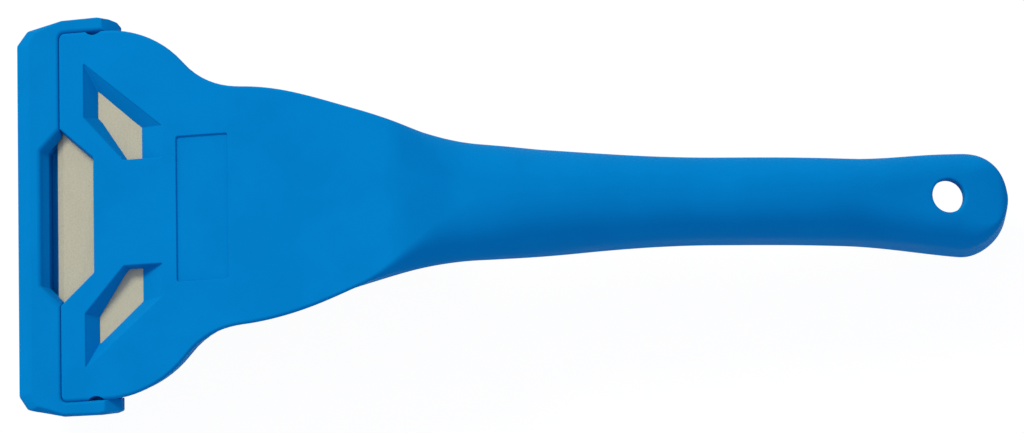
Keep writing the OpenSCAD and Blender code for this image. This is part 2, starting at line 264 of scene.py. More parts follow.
def shoulder(s):
    """Half width of the head plate: a straight side, a convex arc and a hollow arc."""
    fall = HEAD_HALF - WAIST_WIDTH / 2
    arcs = SHOULDER_RADIUS + WAIST_RADIUS
    run = sqrt(arcs * arcs - (arcs - fall) ** 2)
    if s < SIDE_LENGTH:
        return HEAD_HALF
    if s < SIDE_LENGTH + run * SHOULDER_RADIUS / arcs:
        return HEAD_HALF - arc_fall(SHOULDER_RADIUS, s - SIDE_LENGTH)
    return WAIST_WIDTH / 2 + arc_fall(WAIST_RADIUS, max(SIDE_LENGTH + run - s, 0))


def half_width(x):
    """Half width of the body at x, with the round end of the tail."""
    half = (shoulder(x / cos(RAKE))
            - (WAIST_WIDTH - NECK_WIDTH) / 2 * over(x, *WAIST_TO_NECK)
            - (NECK_WIDTH - GRIP_WIDTH) / 2 * over(x, *NECK_TO_GRIP)
            + (TAIL_WIDTH - GRIP_WIDTH) / 2 * over(x, *GRIP_TO_TAIL))
    share = max(0, (x - TAIL_START) / (TIP_END - TAIL_START))
    return half * sqrt(max(0, 1 - share * share))


def hollow(x, start, length, fall, rise):
    """Change of slope over a shallow hollow that falls by one angle and then rises by another."""
    t = min(max((x - start) / length, 0), 1)
    return radians(fall if t < 0.5 else rise) * -sin(2 * pi * t)


def slope(x):
    """Slope of the top line: head, neck, grip and tail in turn, with a hollow on each side of the ridge."""
    return (RAKE + hollow(x, *HEAD_HOLLOW) + hollow(x, *NECK_HOLLOW)
            + (NECK_SLOPE - RAKE) * over(x, *RIDGE_BEND)
            + (GRIP_SLOPE - NECK_SLOPE) * over(x, *GRIP_BEND)
            + (TAIL_SLOPE - GRIP_SLOPE) * over(x, *TAIL_BEND))


LINE_STEP = 0.5
top_line = [0.0]
for _i in range(int(BODY_LENGTH / LINE_STEP) + 2):
    top_line.append(top_line[-1] + LINE_STEP * tan(slope((_i + 0.5) * LINE_STEP)))


def line_height(x):
    """Height of the top line above the head's front edge."""
    i = int(x / LINE_STEP)
    t = x / LINE_STEP - i
    return top_line[i] * (1 - t) + top_line[i + 1] * t


def top_height(x):
    return line_height(x) - arc_fall(TIP_ROUND, max(0, x - BODY_LENGTH + TIP_ROUND))


def rim_height(x):
    plate = HEAD_HEIGHT / cos(RAKE)
    depth = plate + (HANDLE_DEPTH - plate) * over(x, *DEPTH_GAIN)
    return line_height(x) - depth + TIP_LIFT * over(x, *TIP_RUN)


def edge_radius(x):
    """How far the round of the back reaches in from the side."""
    half = half_width(x)
    bare = PLATE_EDGE + (half - PLATE_EDGE) * over(x, *ROUND_GAIN)
    flat = bare + (TAIL_EDGE - bare) * over(x, *TAIL_ROUND)
    crisp = flat * (1 - TIP_LOSS * over(x, *TIP_RUN))
    return min(crisp, max(half - LEAST_FLAT, LEAST_ROUND_SHARE * half))


def edge_rise(x):
    return min(edge_radius(x), MOST_RISE_SHARE * (top_height(x) - rim_height(x)))


def head_point(u, v, n):
    """A point told along the head plate, across it and up from its top face."""
    return Vector((FRONT_X + u * cos(HEAD_LEAN) - n * sin(HEAD_LEAN), v,
                   FRONT_Z + u * sin(HEAD_LEAN) + n * cos(HEAD_LEAN)))


def handle_point(x, y, z):
    """A point told along the handle, across it and up from the head's front edge."""
    return Vector((FRONT_X + x * cos(PITCH) - z * sin(PITCH), y,
                   FRONT_Z + x * sin(PITCH) + z * cos(PITCH)))


# Meshes
def new_object(name, mesh):
    made = bpy.data.objects.new(name, mesh)
    bpy.context.scene.collection.objects.link(made)
    return made


def settle(piece):
    """Turns a piece and its modifiers into one plain mesh."""
    bpy.context.view_layer.update()
    graph = bpy.context.evaluated_depsgraph_get()
    mesh = bpy.data.meshes.new_from_object(piece.evaluated_get(graph), depsgraph=graph)
    piece.modifiers.clear()
    old, piece.data = piece.data, mesh
    bpy.data.meshes.remove(old)
    mesh.name = piece.name
    return piece


def cut_from(piece, *cutters, operation="DIFFERENCE"):
    """Takes each cutter out of a piece, or joins it on."""
    for cutter in cutters:
        step = piece.modifiers.new("cut", "BOOLEAN")
        step.operation, step.solver, step.object = operation, "EXACT", cutter
    settle(piece)
    for cutter in cutters:
        bpy.data.meshes.remove(cutter.data)
    return piece


def solid_through(name, *stacks):
    """One closed solid for each stack of loops that have the same number of points."""
    form = bmesh.new()
    for loops in stacks:
        rows = [[form.verts.new(p) for p in loop] for loop in loops]
        count = len(rows[0])
        for low, high in zip(rows, rows[1:]):
            for i in range(count):
                j = (i + 1) % count
                form.faces.new((low[i], low[j], high[j], high[i]))
        form.faces.new(rows[0][::-1])
        form.faces.new(rows[-1])
    bmesh.ops.recalc_face_normals(form, faces=form.faces)
    mesh = bpy.data.meshes.new(name)
    form.to_mesh(mesh)
    form.free()
    return new_object(name, mesh)


def between(first, second, share):
    return [(a + (c - a) * share, b + (d - b) * share) for (a, b), (c, d) in zip(first, second)]


def outset(outline, distance):
    """The outline moved outwards by a distance, with its corners kept."""
    count = len(outline)
    area = sum(outline[i - 1][0] * outline[i][1] - outline[i][0] * outline[i - 1][1] for i in range(count))
    turn = 1 if area > 0 else -1
    moved = []
    for i in range(count):
        before, here, after = (Vector(outline[k % count]) for k in (i - 1, i, i + 1))
        a, b = (here - before).normalized(), (after - here).normalized()
        side_a, side_b = Vector((a.y, -a.x)) * turn, Vector((b.y, -b.x)) * turn
        middle = side_a + side_b
        moved.append(tuple(here + middle * (2 * distance / middle.length_squared)))
    return moved


def rounded(outline, radii, steps=5):
    """The outline with each corner turned into a short curve, which takes less than half of a side."""
    most_share, least_tan = 0.45, 0.2
    count = len(outline)
    loop = []
    for i, radius in enumerate(radii):
        before, here, after = (Vector(outline[k % count]) for k in (i - 1, i, i + 1))
        a, b = before - here, after - here
        reach = radius / max(tan(a.angle(b) / 2), least_tan)
        start = here + a * min(reach / a.length, most_share)
        end = here + b * min(reach / b.length, most_share)
        for k in range(steps + 1):
            t = k / steps
            loop.append(tuple(start * (1 - t) ** 2 + here * 2 * t * (1 - t) + end * t * t))
    return loop


def in_head(outline, level, radius=0.0):
    """A loop of points at a level of the head, with its corners rounded by one radius or one each."""
    radii = radius if isinstance(radius, list) else [radius] * len(outline)
    loop = rounded(outline, radii) if any(radii) else outline
    return [head_point(u, v, level) for u, v in loop]


def soft_lip(lip, above):
    """Levels and outsets of a round lip that rises to a face and runs out above it."""
    levels = [(lip * (sin(a) - 1), lip * (1 - cos(a))) for a in LIP_TURNS]
    return levels + [(above, lip * LIP_SPREAD), (CUT_PAST, lip * LIP_SPREAD)]


def opening(floor, level, mouth, lip, corner):
    """Loops of a cut in the head's top face, with a soft lip round its mouth."""
    near = between(mouth, floor, lip / -level)
    loops = [in_head(floor, level, corner), in_head(near, -lip, corner)]
    for height, grow in soft_lip(lip, lip * LIP_ABOVE):
        loops.append(in_head(outset(near, grow), height, corner + min(grow, lip)))
    return loops


def mirrored(outline):
    return [(u, -v) for u, v in reversed(outline)]


def circle(u, v, radius, start=0.0, end=2 * pi, steps=40):
    closed = abs(end - start - 2 * pi) < 1e-6
    return [(u + radius * cos(a), v + radius * sin(a)) for a in
            (start + (end - start) * k / (steps if closed else steps - 1) for k in range(steps))]


def finish_mesh(piece, finish, sharp):
    """Welds a piece, evens out its shading, gives it its finish and turns it into metres."""
    form = bmesh.new()
    form.from_mesh(piece.data)
    bmesh.ops.remove_doubles(form, verts=form.verts, dist=PIECE_WELD)
    bmesh.ops.dissolve_degenerate(form, edges=form.edges, dist=PIECE_WELD)
    bmesh.ops.recalc_face_normals(form, faces=form.faces)
    form.to_mesh(piece.data)
    form.free()
    piece.data.transform(Matrix.Scale(MM, 4))
    piece.data.shade_smooth()
    piece.data.set_sharp_from_angle(angle=radians(sharp))
    even = piece.modifiers.new("even_shading", "WEIGHTED_NORMAL")
    even.keep_sharp = True
    settle(piece)
    piece.data.materials.clear()
    piece.data.materials.append(finish)
    return piece


# Node trees
class Wiring:
    """Places nodes in a tree and joins their sockets."""

    def __init__(self, tree):
        self.tree = tree

    def node(self, kind, inputs=None, **settings):
        made = self.tree.nodes.new(kind)
        for name, value in settings.items():
            setattr(made, name, value)
        for key, value in (inputs or {}).items():
            if isinstance(value, bpy.types.NodeSocket):
                self.tree.links.new(value, made.inputs[key])
            else:
                made.inputs[key].default_value = value
        return made

    def math(self, operation, *values):
        return self.node("ShaderNodeMath", dict(enumerate(values)), operation=operation).outputs[0]

    def vector(self, operation, *values, out="Vector"):
        return self.node("ShaderNodeVectorMath", dict(enumerate(values)), operation=operation).outputs[out]

    def sockets(self, direction, **kinds):
        for name, kind in kinds.items():
            self.tree.interface.new_socket(name.replace("_", " "), in_out=direction,
                                           socket_type="NodeSocket" + kind)


def set_inputs(modifier, **values):
    """Sets a tree's inputs on a modifier, each by its socket's identifier."""
    for item in modifier.node_group.interface.items_tree:
        key = item.name.replace(" ", "_")
        if item.item_type == "SOCKET" and item.in_out == "INPUT" and key in values:
            modifier[item.identifier] = values[key]


def ring_loft_tree():
    """A closed skin over a row of stations. A ring's points say how they share in a station's sizes."""
    tree = bpy.data.node_groups.new("ring_loft", "GeometryNodeTree")
    w = Wiring(tree)
    w.sockets("INPUT", Stations="Geometry", Ring="Object", Weld="Float", Finish="Material")
    w.sockets("OUTPUT", Form="Geometry")
    given = w.node("NodeGroupInput").outputs
    stations = given["Stations"]
    ring = w.node("GeometryNodeObjectInfo", {"Object": given["Ring"]}).outputs["Geometry"]

    def count(points):
        return w.node("GeometryNodeAttributeDomainSize", {"Geometry": points}).outputs["Point Count"]

    ring_count = count(ring)
    grid = w.node("GeometryNodeMeshGrid", {"Vertices X": count(stations), "Vertices Y": ring_count})
    index = w.node("GeometryNodeInputIndex").outputs["Index"]
    station_index = w.math("FLOOR", w.math("DIVIDE", w.math("ADD", index, 0.5), ring_count))
    ring_index = w.math("MODULO", index, ring_count)

    def sample(points, field, at):
        return w.node("GeometryNodeSampleIndex", {"Geometry": points, "Value": field, "Index": at},
                      data_type="FLOAT_VECTOR").outputs["Value"]

    def named(points, name, at):
        field = w.node("GeometryNodeInputNamedAttribute", {"Name": name}, data_type="FLOAT_VECTOR")
        return sample(points, field.outputs["Attribute"], at)

    place = sample(stations, w.node("GeometryNodeInputPosition").outputs["Position"], station_index)
    aside = w.vector("DOT_PRODUCT", named(ring, "across", ring_index),
                     named(stations, "widths", station_index), out="Value")
    inset = w.vector("DOT_PRODUCT", named(ring, "inward", ring_index),
                     named(stations, "insets", station_index), out="Value")
    aside = w.math("SUBTRACT", aside, inset)
    raised = w.vector("DOT_PRODUCT", named(ring, "upward", ring_index),
                      named(stations, "heights", station_index), out="Value")
    sideways = w.node("ShaderNodeCombineXYZ", {"Y": aside}).outputs["Vector"]
    lifted = w.node("ShaderNodeVectorMath", {0: named(stations, "lean", station_index), "Scale": raised},
                    operation="SCALE").outputs["Vector"]
    point = w.vector("ADD", w.vector("ADD", place, sideways), lifted)
    placed = w.node("GeometryNodeSetPosition", {"Geometry": grid.outputs["Mesh"], "Position": point})
    welded = w.node("GeometryNodeMergeByDistance", {"Geometry": placed.outputs["Geometry"],
                                                    "Distance": given["Weld"]})
    real = w.node("GeometryNodeRealizeInstances", {"Geometry": welded.outputs["Geometry"]})
    done = w.node("GeometryNodeSetMaterial", {"Geometry": real.outputs["Geometry"],
                                              "Material": given["Finish"]})
    w.node("NodeGroupOutput", {"Form": done.outputs["Geometry"]})
    return tree


def rib_row_tree():
    """A row of equal slabs, one for each rib."""
    tree = bpy.data.node_groups.new("rib_row", "GeometryNodeTree")
    w = Wiring(tree)
    w.sockets("INPUT", Geometry="Geometry", Count="Int", First="Vector", Step="Vector", Size="Vector",
              Turn="Vector", Finish="Material")
    w.sockets("OUTPUT", Form="Geometry")
    given = w.node("NodeGroupInput").outputs
    line = w.node("GeometryNodeMeshLine", {"Count": given["Count"], "Start Location": given["First"],
                                           "Offset": given["Step"]})
    slab = w.node("GeometryNodeMeshCube", {"Size": given["Size"]})
    row = w.node("GeometryNodeInstanceOnPoints", {"Points": line.outputs["Mesh"],
                                                  "Instance": slab.outputs["Mesh"],
                                                  "Rotation": given["Turn"]})
    real = w.node("GeometryNodeRealizeInstances", {"Geometry": row.outputs["Instances"]})
    done = w.node("GeometryNodeSetMaterial", {"Geometry": real.outputs["Geometry"],
                                              "Material": given["Finish"]})
    w.node("NodeGroupOutput", {"Form": done.outputs["Geometry"]})
    return tree


def point_cloud(name, points, **attributes):
    """A mesh of loose points that carries named vectors."""
    mesh = bpy.data.meshes.new(name)
    mesh.from_pydata(points, [], [])
    for key, vectors in attributes.items():
        flat = [part for vector in vectors for part in vector]
        mesh.attributes.new(key, "FLOAT_VECTOR", "POINT").data.foreach_set("vector", flat)
    return new_object(name, mesh)


def ring_template(lip_steps, side_steps, arch_steps, flat_steps):
    """Ring points from the middle of the underside, up one side, over the top and down the other side.

    across shares in a station's half width, arch and lip, upward in its depth, rise and lip, and
    inward in the inset of its lower edge.
    """
    side = [((t, 0, -t), (-1, 0, 0), t) for t in (k / flat_steps for k in range(flat_steps))]
    for k in range(lip_steps + 1):
        a = pi / 2 * (k / lip_steps - 1)
        side.append(((1, 0, cos(a) - 1), (-1, 0, 1 + sin(a)), 1))
    for k in range(1, side_steps):
        t = k / side_steps
        side.append(((1, 0, 0), (t - 1, -t, 1 - t), 1 - t))
    for k in range(arch_steps + 1):
        a = pi / 2 * k / arch_steps
        side.append(((1, cos(a) - 1, 0), (0, sin(a) - 1, 0), 0))
    for k in range(1, flat_steps + 1):
        t = 1 - k / flat_steps
        side.append(((t, -t, 0), (0, 0, 0), 0))
    other = [(tuple(-c for c in across), upward, -inward) for across, upward, inward in reversed(side)]
    ring = side + other[1:]
    return point_cloud("ring", [(0, 0, 0)] * len(ring), across=[r[0] for r in ring],
                       upward=[r[1] for r in ring], inward=[(r[2], 0, 0) for r in ring])


# A cross-section of a lofted form; inset is how far its lower edge is drawn in
Station = namedtuple("Station", "place half arch lip depth rise lean inset")


def closing_station(place, lean):
    """A station drawn together into one point, which closes the skin."""
    return Station(place, half=0, arch=0, lip=0, depth=0, rise=0, lean=lean, inset=0)


def ring_loft(name, stations, ring, finish):
    """The closed skin over a row of stations."""
    made = point_cloud(name, [s.place for s in stations],
                       widths=[(s.half, s.arch, s.lip) for s in stations],
                       heights=[(s.depth, s.rise, s.lip) for s in stations],
                       lean=[(-sin(s.lean), 0, cos(s.lean)) for s in stations],
                       insets=[(s.inset, 0, 0) for s in stations])
    loft = made.modifiers.new("ring_loft", "NODES")
    loft.node_group = RING_LOFT
    set_inputs(loft, Ring=ring, Weld=LOFT_WELD, Finish=finish)
    settle(made)
    form = bmesh.new()
    form.from_mesh(made.data)
    bmesh.ops.dissolve_degenerate(form, edges=form.edges, dist=LOFT_WELD)
    bmesh.ops.recalc_face_normals(form, faces=form.faces)
    form.to_mesh(made.data)
    form.free()
    bpy.data.meshes.remove(ring.data)
    return made


# Finishes
BODY_DEEP = (0.0006, 0.198, 0.545, 1)
BODY_LIGHT = (0.0008, 0.216, 0.585, 1)
GUARD_DEEP = (0.0006, 0.196, 0.535, 1)
GUARD_LIGHT = (0.0008, 0.214, 0.575, 1)
STEEL_DEEP = (0.33, 0.317, 0.252, 1)
STEEL_LIGHT = (0.402, 0.387, 0.306, 1)
STEEL_MARK = (0.28, 0.268, 0.215, 1)
STEEL_SPECK = (0.2, 0.18, 0.13, 1)


def moulded_grain_group():
    """Fine moulding grain and slow mottling, on the piece's own coordinates."""
    tree = bpy.data.node_groups.new("moulded_grain", "ShaderNodeTree")
    w = Wiring(tree)
    w.sockets("INPUT", Grain_Scale="Float", Mottle_Scale="Float")
    w.sockets("OUTPUT", Grain="Float", Mottle="Float")
    given = w.node("NodeGroupInput").outputs
    place = w.node("ShaderNodeTexCoord").outputs["Object"]
    grain = w.node("ShaderNodeTexNoise", {"Vector": place, "Scale": given["Grain Scale"], "Detail": 3.0,
                                          "Roughness": 0.6})
    mottle = w.node("ShaderNodeTexNoise", {"Vector": place, "Scale": given["Mottle Scale"], "Detail": 4.0,
                                           "Roughness": 0.55})
    w.node("NodeGroupOutput", {"Grain": grain.outputs["Fac"], "Mottle": mottle.outputs["Fac"]})
    return tree


def handling_marks_group():
    """Sparse fine scratches: thin lines of a stretched noise, broken up by a second one."""
    tree = bpy.data.node_groups.new("handling_marks", "ShaderNodeTree")
    w = Wiring(tree)
    w.sockets("INPUT", Stretch="Vector", Turn="Vector", Width="Float")
    w.sockets("OUTPUT", Marks="Float")
    given = w.node("NodeGroupInput").outputs
    place = w.node("ShaderNodeTexCoord").outputs["Object"]
    turned = w.node("ShaderNodeMapping", {"Vector": place, "Rotation": given["Turn"],
                                          "Scale": given["Stretch"]})
    lines = w.node("ShaderNodeTexNoise", {"Vector": turned.outputs["Vector"], "Scale": 1.0, "Detail": 2.0})
    off_middle = w.math("ABSOLUTE", w.math("SUBTRACT", lines.outputs["Fac"], 0.5))
    thin = w.math("SUBTRACT", 1.0, w.math("MINIMUM", w.math("DIVIDE", off_middle, given["Width"]), 1.0))
    patches = w.node("ShaderNodeTexNoise", {"Vector": place, "Scale": 160.0, "Detail": 1.0})
    shown = ranged(w, patches.outputs["Fac"], 0, 1, 0.52, 0.66)
    w.node("NodeGroupOutput", {"Marks": w.math("MULTIPLY", thin, shown)})
    return tree


def start_material(name):
    made = bpy.data.materials.new(name)
    made.use_nodes = True
    made.node_tree.nodes.clear()
    w = Wiring(made.node_tree)
    shader = w.node("ShaderNodeBsdfPrincipled")
    w.node("ShaderNodeOutputMaterial", {"Surface": shader.outputs["BSDF"]})
    return made, w, shader


def mixed(w, factor, first, second):
    """A colour between two others: sockets 6 and 7 of the Mix node are its colours, output 2 the result."""
    mix = w.node("ShaderNodeMix", {0: factor, 6: first, 7: second}, data_type="RGBA")
    return mix.outputs[2]


def ranged(w, value, low, high, start=0.3, end=0.7):
    return w.node("ShaderNodeMapRange", {"Value": value, "From Min": start, "From Max": end,
                                         "To Min": low, "To Max": high}).outputs["Result"]


def moulded_plastic(name, deep, light):
    """Satin moulded plastic of one blue, with slow mottling, fine grain and faint marks."""
    made, w, shader = start_material(name)
    grain = w.node("ShaderNodeGroup", {"Grain Scale": 5200, "Mottle Scale": 90}, node_tree=MOULDED_GRAIN)
    marks = w.node("ShaderNodeGroup", {"Stretch": (60, 1500, 900), "Turn": (0.1, 0.2, 0.7), "Width": 0.012},
                   node_tree=HANDLING_MARKS)
    colour = mixed(w, ranged(w, grain.outputs["Mottle"], 0, 1), deep, light)
    rough = w.math("SUBTRACT", ranged(w, grain.outputs["Mottle"], 0.52, 0.62),
                   w.math("MULTIPLY", marks.outputs["Marks"], 0.06))
    height = w.math("SUBTRACT", grain.outputs["Grain"], w.math("MULTIPLY", marks.outputs["Marks"], 0.5))
    bump = w.node("ShaderNodeBump", {"Strength": 0.12, "Distance": 0.00006, "Height": height})
    w.tree.links.new(colour, shader.inputs["Base Color"])
    w.tree.links.new(rough, shader.inputs["Roughness"])
    w.tree.links.new(bump.outputs["Normal"], shader.inputs["Normal"])
    shader.inputs["Specular IOR Level"].default_value = 0.014
    shader.inputs["Specular Tint"].default_value = (0.1, 0.6, 1.0, 1.0)
    return made


def ground_steel(name):
    """Warm grey ground steel with a fine cross grain and a few dark specks."""
    made, w, shader = start_material(name)
    place = w.node("ShaderNodeTexCoord").outputs["Object"]
    grain = w.node("ShaderNodeGroup", {"Grain Scale": 4200, "Mottle Scale": 420}, node_tree=MOULDED_GRAIN)
    marks = w.node("ShaderNodeGroup", {"Stretch": (3600, 130, 1200), "Turn": (0, 0, 0.03), "Width": 0.05},
                   node_tree=HANDLING_MARKS)
    specks = w.node("ShaderNodeTexVoronoi", {"Vector": place, "Scale": 620.0})
    near = ranged(w, specks.outputs["Distance"], 1, 0, 0.05, 0.12)
    draw = w.node("ShaderNodeSeparateColor", {"Color": specks.outputs["Color"]}).outputs["Red"]
    dark = w.math("MULTIPLY", near, ranged(w, draw, 0, 1, 0.86, 0.9))
    tone = mixed(w, ranged(w, grain.outputs["Grain"], 0, 1, 0.35, 0.65), STEEL_DEEP, STEEL_LIGHT)
    grained = mixed(w, w.math("MULTIPLY", marks.outputs["Marks"], 0.3), tone, STEEL_MARK)
    colour = mixed(w, w.math("MULTIPLY", dark, 0.6), grained, STEEL_SPECK)
    height = w.math("ADD", grain.outputs["Grain"], w.math("MULTIPLY", marks.outputs["Marks"], -0.6))
    bump = w.node("ShaderNodeBump", {"Strength": 0.2, "Distance": 0.00004, "Height": height})
    w.tree.links.new(colour, shader.inputs["Base Color"])
    w.tree.links.new(ranged(w, grain.outputs["Grain"], 0.42, 0.58), shader.inputs["Roughness"])
    w.tree.links.new(bump.outputs["Normal"], shader.inputs["Normal"])
    shader.inputs["Metallic"].default_value = 0.25
    return made


# The body
def body_station(x):
    """One station of the outer form. Its ring stands square to the head plate and upright in the handle."""
    turn = RAKE * (1 - over(x, *RING_UPRIGHT))
    top = top_height(x)
    drop = top - rim_height(x)
    depth = drop * cos(slope(x)) / cos(slope(x) - turn) if x < RIDGE else drop
    half = half_width(x)
    s = x / cos(RAKE)
    fall = arc_fall(FRONT_EDGE, max(FRONT_EDGE - s, 0))
    corner = arc_fall(FRONT_CORNER, max(FRONT_CORNER - s, 0))
    lean = turn + PITCH
    return Station(place=handle_point(x, 0, top) + Vector((sin(lean), 0, -cos(lean))) * fall,
                   half=half - corner,
                   arch=edge_radius(x),
                   lip=min(RIM_EDGE, half / 2),
                   depth=depth - 2 * fall - RIM_RAISE,
                   rise=edge_rise(x),
                   lean=lean,
                   inset=PLATE_LEAN * (1 - over(x, *SIDES_STRAIGHTEN)))


def steps_to(start, end, pitch):
    count = max(1, round((end - start) / pitch))
    return [start + (end - start) * k / count for k in range(count)]


def outer_form(finish):
    """The skin of head and handle in one."""
    places = [s * cos(RAKE) for s in FRONT_STATIONS]
    for run in STATION_RUNS:
        places += steps_to(*run)
    places += [TAIL_START + (TIP_END - TAIL_START) * sin(radians(a)) for a in TIP_DEGREES]
    stations = [body_station(x) for x in places]
    stations.insert(0, closing_station(head_point(0, 0, -HEAD_HEIGHT / 2), HEAD_LEAN))
    ring = ring_template(lip_steps=4, side_steps=4, arch_steps=14, flat_steps=4)
    return ring_loft("body", stations, ring, finish)


def bay_station(x):
    """One station of the hollow under the handle."""
    top = top_height(x) - WALL / cos(slope(x))
    return Station(place=handle_point(x, 0, top),
                   half=max(half_width(x) - WALL, BAY_LEAST_HALF),
                   arch=max(edge_radius(x) - WALL, BAY_LEAST_ROUND),
                   lip=0,
                   depth=top - rim_height(x) + BAY_BELOW,
                   rise=max(edge_rise(x) - WALL, BAY_LEAST_ROUND),
                   lean=PITCH,
                   inset=0)


def bay_end(x):
    return closing_station(handle_point(x, 0, (top_height(x) + rim_height(x)) / 2), PITCH)


def handle_bays(finish):
    """The hollow under the handle, parted by its cross ribs."""
    start, end = BAY_FIRST + RIB / 2, BAY_LAST - RIB / 2
    stations = [bay_station(x) for x in steps_to(start, end, BAY_STEP) + [end]]
    stations = [bay_end(start)] + stations + [bay_end(end)]
    ring = ring_template(lip_steps=1, side_steps=3, arch_steps=8, flat_steps=2)
    bays = ring_loft("bays", stations, ring, finish)
    ribs = new_object("ribs", bpy.data.meshes.new("ribs"))
    row = ribs.modifiers.new("rib_row", "NODES")
    row.node_group = RIB_ROW
    pitch = (BAY_LAST - BAY_FIRST) / BAY_COUNT
    set_inputs(row, Count=BAY_COUNT - 1, First=handle_point(BAY_FIRST + pitch, 0, 0),
               Step=handle_point(pitch, 0, 0) - handle_point(0, 0, 0), Size=RIB_SLAB,
               Turn=Vector((0, -PITCH, 0)), Finish=finish)
    settle(ribs)
    return cut_from(bays, ribs)


def head_pockets():
    """Pockets under the head plate, two on each side of its middle rib."""
    start, end = SLOT_BACK + WALL, (BAY_FIRST - RIB) / cos(RAKE)
    stacks = []
    for inner in (RIB / 2, RIB / 2 + POCKET_PITCH):
        reach = [s for s in steps_to(start, end, POCKET_STEP)
                 if half_width(s * cos(RAKE)) - WALL > inner + RIB]
        edge = [(s, min(inner + POCKET_PITCH - RIB, half_width(s * cos(RAKE)) - WALL)) for s in reach]
        outline = [(reach[-1], inner), (reach[0], inner)] + edge
        for side in (outline, mirrored(outline)):
            stacks.append([in_head(side, level) for level in (-HEAD_HEIGHT - CUT_PAST, -HEAD_ROOF)])
    return solid_through("pockets", *stacks)


def hanging_hole():
    """The hole through the tail, square to its slope, with a round lip above and a chamfer below."""
    lean = slope(HOLE_PLACE) + PITCH
    place = handle_point(HOLE_PLACE, 0, top_height(HOLE_PLACE))
    along, up = Vector((cos(lean), 0, sin(lean))), Vector((-sin(lean), 0, cos(lean)))
    levels = [(-HOLE_BELOW, HOLE_CHAMFER), (-WALL, HOLE_CHAMFER), (-WALL + HOLE_CHAMFER, 0), (-HOLE_LIP, 0)]
    levels += soft_lip(HOLE_LIP, HOLE_ABOVE)
    return solid_through("hole", [[place + along * a + Vector((0, b, 0)) + up * level
                                   for a, b in circle(0, 0, HOLE_RADIUS + grow, steps=HOLE_STEPS)]
                                  for level, grow in levels])


def blade_slot():
    half = [(-CUT_PAST, SLOT_HALF), (SLOT_BACK - BLADE_CORNER, SLOT_HALF),
            (SLOT_BACK, SLOT_HALF - BLADE_CORNER)]
    return solid_through("slot", [in_head(half + mirrored(half), level)
                                  for level in (-HEAD_ROOF - SLOT_HEIGHT, -HEAD_ROOF)])


def front_notch():
    """The notch in the front edge, down to the blade. Its back wall is upright when the part is at rest."""
    front = NOTCH_FRONT + NOTCH_AHEAD * (NOTCH_FRONT - NOTCH_BACK) / NOTCH_DEPTH
    mouth = [(-NOTCH_AHEAD, front), (-NOTCH_AHEAD, -front),
             (NOTCH_DEPTH, -NOTCH_BACK), (NOTCH_DEPTH, NOTCH_BACK)]
    floor = [(u + BLADE_LEVEL * tan(HEAD_LEAN), v) for u, v in mouth]
    return solid_through("notch", opening(floor, BLADE_LEVEL, mouth, NOTCH_LIP, NOTCH_CORNER))


def windows():
    """The two windows, which narrow towards the blade."""
    pairs = ((WINDOW_FLOOR, WINDOW_MOUTH), (mirrored(WINDOW_FLOOR), mirrored(WINDOW_MOUTH)))
    return solid_through("windows", *[opening(floor, BLADE_LEVEL, mouth, WINDOW_LIP, WINDOW_CORNER)
                                      for floor, mouth in pairs])


def label_recess():
    end = LABEL_START + LABEL_LENGTH
    mouth = [(LABEL_START, LABEL_HALF), (LABEL_START, -LABEL_HALF), (end, -LABEL_HALF), (end, LABEL_HALF)]
    floor = outset(mouth, -LABEL_DRAFT)
    return solid_through("label", opening(floor, -LABEL_DEPTH, mouth, LABEL_LIP, LABEL_CORNER))


def snap_notches():
    """A blind notch in each side of the head, for the bumps of the guard."""
    rounds = [circle(BUMP_PLACE, side * (HEAD_HALF + SNAP_OFFSET), SNAP_RADIUS) for side in (1, -1)]
    return solid_through("snaps", *[[in_head(loop, level) for level in (SNAP_FLOOR, CUT_PAST)]
                                    for loop in rounds])


def make_body(finish):
    body = outer_form(finish)
    cut_from(body, head_pockets())
    cut_from(body, handle_bays(finish))
    cut_from(body, hanging_hole())
    cut_from(body, blade_slot())
    cut_from(body, front_notch())
    cut_from(body, windows())
    cut_from(body, label_recess())
    cut_from(body, snap_notches())
    return finish_mesh(body, finish, PLASTIC_SHARP)


# The blade
def make_blade(finish):
    """The blade, through sections of seven points that follow one another along its edge."""
    half = BLADE_THICK / 2
    back = BLADE_DEPTH - BLADE_REACH
    ground = -BLADE_REACH + BLADE_BEVEL
    ends = [(BLADE_HALF, BLADE_EASE, BLADE_CORNER), (BLADE_HALF - BLADE_EASE, 0, BLADE_CORNER - BLADE_EASE),
            (BLADE_HALF - BLADE_CORNER, 0, 0)]
    loops = []
    for side, shrink, cut in [(-v, shrink, cut) for v, shrink, cut in ends] + ends[::-1]:
        thick, end = half - shrink, back - cut
        section = [(-BLADE_REACH, 0), (ground, -thick), (end - BLADE_EASE, -thick), (end, BLADE_EASE - half),
                   (end, half - BLADE_EASE), (end - BLADE_EASE, thick), (ground, thick)]
        loops.append([head_point(u, side, BLADE_LEVEL + n) for u, n in section])
    return finish_mesh(solid_through("blade", loops), finish, BLADE_SHARP)


# The guard
def guard_outline(nose, corner, arm_inset, tip_inset, taper_length, taper):
    """Outline of the guard at one height: nose, corners, and arms that are set in and taper at their ends."""
    half = [(nose + u, GUARD_SIDE - v) for u, v in corner]
    half += [(ARM_ROOT, GUARD_SIDE - arm_inset), (ARM_LENGTH - taper_length, GUARD_SIDE - tip_inset),
             (ARM_LENGTH, GUARD_SIDE - tip_inset - taper)]
    return half + mirrored(half)


